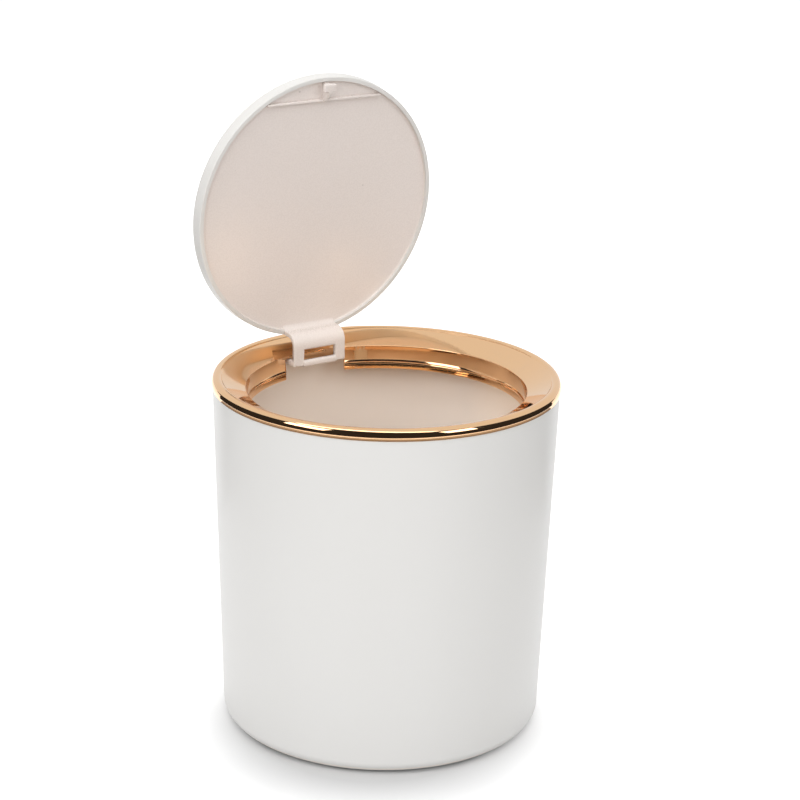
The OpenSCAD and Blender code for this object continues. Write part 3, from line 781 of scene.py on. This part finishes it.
def latch_coil():
    """Coil under the slider, z rises evenly with the angle."""
    low, high = box_mm("latch_spring")
    centre, radius = (low + high) / 2, (high[0] - low[0]) / 2
    half = LATCH_WIRE_D / 2
    t = np.linspace(0, LATCH_TURNS * 2 * math.pi, LATCH_TURNS * 28 + 1)
    r = radius - half
    z = np.linspace(low[2] + half, high[2] - half, len(t))
    path = np.stack([centre[0] + r * np.cos(t), centre[1] + r * np.sin(t), z], axis=1)
    return wire("latch_coil", path, LATCH_WIRE_D, 10)


hinge_coil = torsion_spring()
latch_coil_piece = latch_coil()
print("springs:", len(hinge_coil.data.polygons), len(latch_coil_piece.data.polygons), "faces")

# %% [markdown]
# ## Shared effects
# Moulded plastic is never quite even: it has a fine grain, slow changes of tone where the melt flowed,
# and a little dust in the corners. Two node groups give these as plain masks and heights, so each
# material decides how much of them it takes.

# %% Node helpers
def new_group(name, inputs, outputs):
    """Node group with named float inputs and outputs."""
    group = bpy.data.node_groups.new(name, "ShaderNodeTree")
    for label, kind, value in inputs:
        socket = group.interface.new_socket(label, in_out="INPUT", socket_type=kind)
        if value is not None:
            socket.default_value = value
    for label, kind in outputs:
        group.interface.new_socket(label, in_out="OUTPUT", socket_type=kind)
    return group


class Nodes:
    """Short hand for adding and joining nodes in one tree."""

    def __init__(self, tree):
        self.tree = tree

    def add(self, kind, settings=None, **values):
        node = self.tree.nodes.new(kind)
        for key, value in (settings or {}).items():
            setattr(node, key, value)
        for key, value in values.items():
            self.put(node.inputs[key.replace("_", " ")], value)
        return node

    def put(self, socket, value):
        if isinstance(value, bpy.types.NodeSocket):
            self.tree.links.new(value, socket)
        else:
            socket.default_value = value

    def position(self):
        return self.add("ShaderNodeTexCoord").outputs["Object"]

    def math(self, operation, a, b=0.0):
        node = self.tree.nodes.new("ShaderNodeMath")
        node.operation = operation
        self.put(node.inputs[0], a)
        self.put(node.inputs[1], b)
        return node.outputs[0]

    def spread(self, value, low, high, to_low, to_high):
        node = self.add("ShaderNodeMapRange", None, Value=value)
        for key, number in (("From Min", low), ("From Max", high), ("To Min", to_low), ("To Max", to_high)):
            node.inputs[key].default_value = number
        return node.outputs[0]

    def mix(self, factor, a, b):
        node = self.add("ShaderNodeMix", {"data_type": "RGBA"})
        self.put(node.inputs[0], factor)
        self.put(node.inputs[6], a)
        self.put(node.inputs[7], b)
        return node.outputs[2]

    def noise(self, vector, scale, detail=2.0, roughness=0.5):
        texture = self.add(
            "ShaderNodeTexNoise", None, Vector=vector, Scale=scale, Detail=detail, Roughness=roughness)
        return texture.outputs[0]


# %% Group: moulded grain
def moulded_grain_group():
    """Grain is fine noise, Flow is slow noise stretched upwards, Speck is a thin mask of dust points."""
    group = new_group(
        "moulded grain",
        [("Grain Size", "NodeSocketFloat", 0.0006), ("Speck Size", "NodeSocketFloat", 0.006)],
        [("Grain", "NodeSocketFloat"), ("Flow", "NodeSocketFloat"), ("Speck", "NodeSocketFloat")])
    n = Nodes(group)
    given = group.nodes.new("NodeGroupInput")
    out = group.nodes.new("NodeGroupOutput")
    place = n.position()
    grain_scale = n.math("DIVIDE", 1.0, given.outputs["Grain Size"])
    speck_scale = n.math("DIVIDE", 1.0, given.outputs["Speck Size"])
    n.put(out.inputs["Grain"], n.noise(place, grain_scale, 3.0, 0.6))
    tall = n.add("ShaderNodeMapping", None, Vector=place, Scale=(1.0, 1.0, 0.35)).outputs[0]
    n.put(out.inputs["Flow"], n.noise(tall, 14.0, 2.0, 0.45))
    cells = n.add("ShaderNodeTexVoronoi", {"feature": "F1"}, Vector=place, Scale=speck_scale)
    random = n.add("ShaderNodeSeparateColor", None, Color=cells.outputs["Color"]).outputs[0]
    chosen = n.math("GREATER_THAN", random, 0.93)
    near = n.spread(cells.outputs["Distance"], 0.05, 0.09, 1.0, 0.0)
    n.put(out.inputs["Speck"], n.math("MULTIPLY", chosen, near))
    return group


moulded_grain = moulded_grain_group()


# %% Group: plating ripple
def plating_ripple_group():
    """Height is a slow ripple of the moulding under the plating, Haze a broken mask of wiped fingermarks."""
    group = new_group("plating ripple", [("Ripple Size", "NodeSocketFloat", 0.02)],
                      [("Height", "NodeSocketFloat"), ("Haze", "NodeSocketFloat")])
    n = Nodes(group)
    given = group.nodes.new("NodeGroupInput")
    out = group.nodes.new("NodeGroupOutput")
    place = n.position()
    n.put(out.inputs["Height"], n.noise(place, n.math("DIVIDE", 1.0, given.outputs["Ripple Size"]), 1.0, 0.4))
    haze = n.noise(place, 95.0, 5.0, 0.62)
    n.put(out.inputs["Haze"], n.spread(haze, 0.5, 0.72, 0.0, 1.0))
    return group


plating_ripple = plating_ripple_group()
print("groups:", [g.name for g in bpy.data.node_groups])

# %% [markdown]
# ## Finishes
# The can and the lid are satin off-white plastic. Its colour hardly changes, but its gloss does, so the
# grain goes to roughness and bump more than to colour. The ring is bright rose gold plating: a metal
# with a warm colour, very smooth, with a slow ripple and a trace of haze.

# %% Plastic finishes
def new_material(name):
    material = bpy.data.materials.new(name)
    material.use_nodes = True
    shader = material.node_tree.nodes["Principled BSDF"]
    return material, Nodes(material.node_tree), shader


def plastic(name, light, dark, rough, grain=0.0006, bump=0.04, speck=0.0, coat=0.0):
    """Moulded plastic: tone follows the flow, gloss and bump follow the grain, specks darken the colour."""
    material, n, shader = new_material(name)
    effects = n.add("ShaderNodeGroup", {"node_tree": moulded_grain}, Grain_Size=grain)
    tone = n.mix(n.spread(effects.outputs["Flow"], 0.3, 0.7, 0.0, 1.0), (*light, 1), (*dark, 1))
    spotted = n.mix(n.math("MULTIPLY", effects.outputs["Speck"], speck), tone, (0.16, 0.13, 0.11, 1))
    n.put(shader.inputs["Base Color"], spotted)
    gloss = n.spread(effects.outputs["Grain"], 0.3, 0.7, rough - 0.04, rough + 0.05)
    n.put(shader.inputs["Roughness"], gloss)
    bump_node = n.add("ShaderNodeBump", None, Strength=bump, Distance=0.0002, Height=effects.outputs["Grain"])
    n.put(shader.inputs["Normal"], bump_node.outputs[0])
    shader.inputs["Specular IOR Level"].default_value = 0.35
    shader.inputs["Coat Weight"].default_value = coat
    shader.inputs["Coat Roughness"].default_value = 0.18
    return material


satin_white = plastic(
    "satin off-white plastic", (0.775, 0.766, 0.748), (0.755, 0.745, 0.725), 0.36, bump=0.006, coat=0.12)
lid_white = plastic(
    "lid off-white plastic", (0.735, 0.720, 0.695), (0.720, 0.703, 0.675), 0.30, bump=0.004, coat=0.1)
lid_warm = plastic(
    "lid panel plastic", (0.810, 0.738, 0.698), (0.790, 0.720, 0.674), 0.27, bump=0.004, speck=0.3, coat=0.2)
dark_moulded = plastic("grey latch plastic", (0.62, 0.60, 0.56), (0.58, 0.56, 0.52), 0.42, 0.0004, 0.12)
natural_acetal = plastic("natural latch plastic", (0.76, 0.76, 0.73), (0.72, 0.72, 0.69), 0.33, 0.0004, 0.06)
soft_pad = plastic("soft pad rubber", (0.60, 0.585, 0.56), (0.55, 0.535, 0.51), 0.72, 0.0003, 0.25)


# %% Inside of the can: painted warm light and shade
INSIDE_PAINTED_WARM_LIGHT = (0.975, 0.898, 0.820, 1)
INSIDE_PAINTED_SHADE = (0.860, 0.792, 0.725, 1)
INSIDE_SHADE_RAMP = (0.100, 0.149)
ABOVE_BASE = 0.002


def paint_inside_light_and_shade():
    """Painted light inside the wall: a warm, bright colour for the light that the plating throws in, turning
    darker deep down as painted shade. The mask compares the radius with mid-wall.
    """
    n = Nodes(satin_white.node_tree)
    shader = satin_white.node_tree.nodes["Principled BSDF"]
    outside = shader.inputs["Base Color"].links[0].from_socket
    place = n.add("ShaderNodeSeparateXYZ", None, Vector=n.position())
    squares = [n.math("POWER", place.outputs[i], 2.0) for i in range(2)]
    radius = n.math("SQRT", n.math("ADD", *squares))
    slope = BODY_TAPER / (body_top - body_base)
    middle_low = (body_r - BODY_TAPER - BODY_WALL / 2) * MM
    middle = n.math("ADD", n.math("MULTIPLY", place.outputs[2], slope), middle_low)
    above_base = n.math("GREATER_THAN", place.outputs[2], ABOVE_BASE)
    inside = n.math("MULTIPLY", n.math("LESS_THAN", radius, middle), above_base)
    # Painted warm light near the mouth, fading with depth into painted shade.
    painted_light_and_shade = n.mix(n.spread(place.outputs[2], *INSIDE_SHADE_RAMP, 0.0, 1.0), INSIDE_PAINTED_SHADE, INSIDE_PAINTED_WARM_LIGHT)
    n.put(shader.inputs["Base Color"], n.mix(inside, outside, painted_light_and_shade))


paint_inside_light_and_shade()


# %% Metal finishes
def gold_plating():
    """Bright plating: warm metal whose haze lifts the roughness and whose ripple bends reflections."""
    material, n, shader = new_material("rose gold plating")
    effects = n.add("ShaderNodeGroup", {"node_tree": plating_ripple}, Ripple_Size=0.016)
    colour = n.mix(effects.outputs["Haze"], (0.935, 0.605, 0.345, 1), (0.912, 0.596, 0.350, 1))
    n.put(shader.inputs["Base Color"], colour)
    n.put(shader.inputs["Roughness"], n.spread(effects.outputs["Haze"], 0.0, 1.0, 0.055, 0.10))
    bump = n.add("ShaderNodeBump", None, Strength=0.05, Distance=0.001, Height=effects.outputs["Height"])
    n.put(shader.inputs["Normal"], bump.outputs[0])
    shader.inputs["Metallic"].default_value = 1.0
    return material


def drawn_steel():
    """Drawn wire and turned pins: fine streaks along each axis change the gloss."""
    material, n, shader = new_material("drawn steel")
    place = n.position()
    drawn = n.add("ShaderNodeMapping", None, Vector=place, Scale=(0.08, 1.0, 1.0)).outputs[0]
    streak = n.noise(drawn, 4200.0, 3.0, 0.6)
    n.put(shader.inputs["Base Color"], n.mix(streak, (0.50, 0.50, 0.51, 1), (0.62, 0.62, 0.63, 1)))
    n.put(shader.inputs["Roughness"], n.spread(streak, 0.3, 0.7, 0.22, 0.38))
    bump = n.add("ShaderNodeBump", None, Strength=0.08, Distance=0.00005, Height=streak)
    n.put(shader.inputs["Normal"], bump.outputs[0])
    shader.inputs["Metallic"].default_value = 1.0
    return material


rose_gold = gold_plating()
steel = drawn_steel()
print("finishes:", [m.name for m in bpy.data.materials])

# %% [markdown]
# ## Putting it together
# Each new piece takes its finish, rides on its body and stands for the node that it replaces. The nodes
# that are kept only get their finish.

# %% Pieces on their bodies
def dress(piece, material, body, slot, *nodes):
    """One finish on a new piece, which then rides on its body in place of the nodes."""
    piece.data.materials.clear()
    piece.data.materials.append(material)
    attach(piece, body)
    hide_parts(*nodes)


dress(can_body, satin_white, "bin", "body_white", "bin_body")
dress(rim_ring_dressed, rose_gold, "rim", "rim_gold", "rim_ring")
dress(lid_shell, lid_white, "lid", "lid_white", "lid_cover")
dress(lid_panel_dressed, lid_warm, "lid", "lid_white", "lid_panel")
dress(hinge_coil, steel, "rim", "steel", "hinge_spring")
dress(latch_coil_piece, steel, "rim", "steel", "latch_spring")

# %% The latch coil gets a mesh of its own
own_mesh(latch_coil_piece)

# %% Nodes that only take a finish
kept = {
    "non_slip_pads": soft_pad, "hinge_pin": steel, "hinge_spring_leg": steel, "latch_housing": dark_moulded,
    "latch_cap": dark_moulded, "latch_screws": steel, "latch_slider": natural_acetal,
    "latch_jaw_left": natural_acetal, "latch_jaw_right": natural_acetal, "latch_jaw_pins": steel,
    "latch_cam_link": steel}
for name, material in kept.items():
    for slot in frame["nodes"][name].material_slots:
        slot.link = "OBJECT"
        slot.material = material
print("kept nodes:", len(kept))

# %% [markdown]
# ## Floor, backdrop and light
# The floor is white where it is lit and keeps the soft shadow under the foot. Near the foot its glow fades
# out round a point set towards the camera, so painted shade darkens the floor there as well. The world lights
# everything evenly. Two soft lamps stand left and right of the camera and a long strip hangs above it. Three
# fill lamps, which mirrors don't see, even out the lid and the inside. Bright metal needs something dark to
# mirror, so two dark cards stand round the can, which only mirror rays see. Small warm lamps near the ring
# stand in for the light that the plating throws on the lid and on its own wall.

# %% Floor
FLOOR_HALF = 6000
SHADOW_INNER = 0.048
SHADOW_OUTER = 0.095
SHADOW_SHIFT = 0.028
FLOOR_GLOW = 0.7


def towards(azimuth, elevation):
    """Unit vector at an azimuth measured from the camera's, positive to the right, and an elevation."""
    a, e = CAMERA_AZIMUTH + math.radians(azimuth), math.radians(elevation)
    return np.array([math.sin(a) * math.cos(e), -math.cos(a) * math.cos(e), math.sin(e)])


def white_for_camera(n, strength):
    """Strength for camera, mirror and glass rays, nothing for light."""
    path = n.add("ShaderNodeLightPath")
    seen = n.math("MAXIMUM", path.outputs["Is Camera Ray"], path.outputs["Is Glossy Ray"])
    return n.math("MULTIPLY", n.math("MAXIMUM", seen, path.outputs["Is Transmission Ray"]), strength)


def matte(name, base, rough, emission):
    """Finish without any shine, whose glow is set by the caller."""
    material, n, shader = new_material(name)
    shader.inputs["Base Color"].default_value = (*base, 1)
    shader.inputs["Roughness"].default_value = rough
    shader.inputs["Specular IOR Level"].default_value = 0.0
    shader.inputs["Emission Color"].default_value = (*emission, 1)
    return material, n, shader.inputs["Emission Strength"]


def make_floor():
    """Large sheet under the can, whose glow fades out near the foot to paint shade round it."""
    h = FLOOR_HALF
    corners = np.array([[-h, -h, 0], [h, -h, 0], [h, h, 0], [-h, h, 0]], float)
    floor = face_mesh("floor", corners, [[0, 1, 2, 3]])
    material, n, glow = matte("white sweep with painted shade", (0.60, 0.60, 0.60), 0.9, (1, 1, 1))
    # Painted shade: the glow fades out towards a point shifted towards the camera, so the floor round the
    # foot, most of all in front of it, stays darker than the lit floor.
    middle = SHADOW_SHIFT * towards(-8, 0)
    off = n.add("ShaderNodeVectorMath", {"operation": "SUBTRACT"})
    n.put(off.inputs[0], n.position())
    n.put(off.inputs[1], tuple(middle))
    far = n.add("ShaderNodeVectorMath", {"operation": "LENGTH"}, Vector=off.outputs["Vector"])
    shade = n.spread(far.outputs["Value"], SHADOW_INNER, SHADOW_OUTER, 0.0, FLOOR_GLOW)
    n.put(glow, white_for_camera(n, shade))
    floor.data.materials.append(material)
    return floor


floor = make_floor()

# %% World and lamps
WORLD_WHITE = 0.50
LAMP_DISTANCE = 1.6
MIRRORED_WHITE = 0.82
LAMP_LOOK = np.array([0.0, 0.0, 0.10])


def make_world(strength):
    """Even white light; the camera, mirrors and glass see plain white."""
    world = bpy.data.worlds.new("studio")
    bpy.context.scene.world = world
    world.use_nodes = True
    n = Nodes(world.node_tree)
    background = world.node_tree.nodes["Background"]
    background.inputs["Color"].default_value = (1, 1, 1, 1)
    path = n.add("ShaderNodeLightPath")
    seen = n.math("MAXIMUM", path.outputs["Is Camera Ray"], path.outputs["Is Transmission Ray"])
    mirrored = n.math("MULTIPLY", path.outputs["Is Glossy Ray"], MIRRORED_WHITE - strength)
    extra = n.math("MAXIMUM", n.math("MULTIPLY", seen, 1.0 - strength), mirrored)
    n.put(background.inputs["Strength"], n.math("ADD", extra, strength))


def aim(obj, place, target):
    obj.location = place
    obj.rotation_mode = "QUATERNION"
    obj.rotation_quaternion = Vector(np.array(target) - place).to_track_quat("-Z", "Y")


def make_lamp(name, place, target, width, height, radiance):
    """Soft lamp; its power is radiance x pi x area."""
    data = bpy.data.lights.new(name, "AREA")
    data.shape = "RECTANGLE"
    data.size, data.size_y = width, height
    data.energy = radiance * math.pi * width * height
    lamp = bpy.data.objects.new(name, data)
    aim(lamp, place, target)
    bpy.context.collection.objects.link(lamp)
    return lamp


def stand_lamp(name, azimuth, elevation, width, height, radiance):
    """Lamp on a stand round the can, aimed at its middle."""
    place = LAMP_LOOK + LAMP_DISTANCE * towards(azimuth, elevation)
    return make_lamp(name, place, LAMP_LOOK, width, height, radiance)


make_world(WORLD_WHITE)

# %% Lamps round the can
STANDS = [
    ("left_softbox", -53, 27, 0.76, 0.60, 3.3, True),
    ("right_softbox", 49, 27, 0.58, 0.60, 3.3, True),
    ("top_strip", -16, 60, 2.2, 0.30, 2.6, True),
    ("overhead_fill", 0, 78, 1.2, 1.2, 1.2, False),
    ("front_fill", -6, 36, 0.9, 0.9, 2.0, False),
    ("back_fill", 178, 32, 1.3, 0.9, 2.7, False)]
for *stand, mirrored in STANDS:
    stand_lamp(*stand).visible_glossy = mirrored
print("lamps round the can:", [stand[0] for stand in STANDS])

# %% Warm lamps for the light that the plating throws
GLOW_COLOUR = (1.0, 0.70, 0.40)
GLOWS = [
    ("left_edge_glow", (-0.030, 0.066, 0.1545), (-0.030, 0.066, 0.20), 0.034, 0.006, 1.5),
    ("right_edge_glow", (0.030, 0.066, 0.1545), (0.030, 0.066, 0.20), 0.034, 0.006, 1.5),
    ("right_side_glow", (0.068, 0.060, 0.178), (0.054, 0.062, 0.194), 0.04, 0.008, 1.3),
    ("inner_glow", (0.0, 0.030, 0.118), (0.0, -0.066, 0.116), 0.08, 0.03, 1.9),
    ("left_face_glow", (-0.046, 0.036, 0.195), (-0.046, 0.066, 0.195), 0.02, 0.02, 0.6),
    ("right_face_glow", (0.018, 0.036, 0.174), (0.018, 0.066, 0.174), 0.02, 0.02, 0.5)]
for name, place, target, width, height, radiance in GLOWS:
    glow = make_lamp(name, np.array(place), target, width, height, radiance)
    glow.data.color = GLOW_COLOUR
    glow.visible_camera = False
    glow.visible_glossy = False
print("warm lamps:", [glow[0] for glow in GLOWS])

# %% Dark cards
CARD_TAPER = 100
CARD_GLOW = (0.30, 0.55, 0.6, 0.03)


def dark_card(name, span, near, far, low, high):
    """Curved card, span degrees to each side of the camera, from one radius and height to another.

    It runs out to nothing at both ends, glows a little near the can, and only mirror rays see it."""
    side = np.linspace(-span, span, 60)
    a = np.radians(side) + CAMERA_AZIMUTH
    taper = np.clip((span - abs(side)) / CARD_TAPER, 0, 1)
    r, rise = np.linspace(near, far, 12) / MM, np.linspace(0, high - low, 12) / MM
    z = low / MM + np.outer(taper, rise)
    card = grid_mesh(name, round_axis(r[None], a[:, None], z), close_u=False, close_v=False)
    material, n, glow = matte(name, (0, 0, 0), 1.0, (1.0, 0.92, 0.88))
    away = n.add("ShaderNodeVectorMath", {"operation": "LENGTH"}, Vector=n.position())
    n.put(glow, n.spread(away.outputs["Value"], *CARD_GLOW))
    card.data.materials.append(material)
    for ray in ("camera", "diffuse", "transmission", "shadow", "volume_scatter"):
        setattr(card, "visible_" + ray, False)


dark_card("front_card", 138, 2.4, 2.4, 0.0, 2.9)
dark_card("table_card", 130, 0.30, 2.4, 0.002, 0.002)
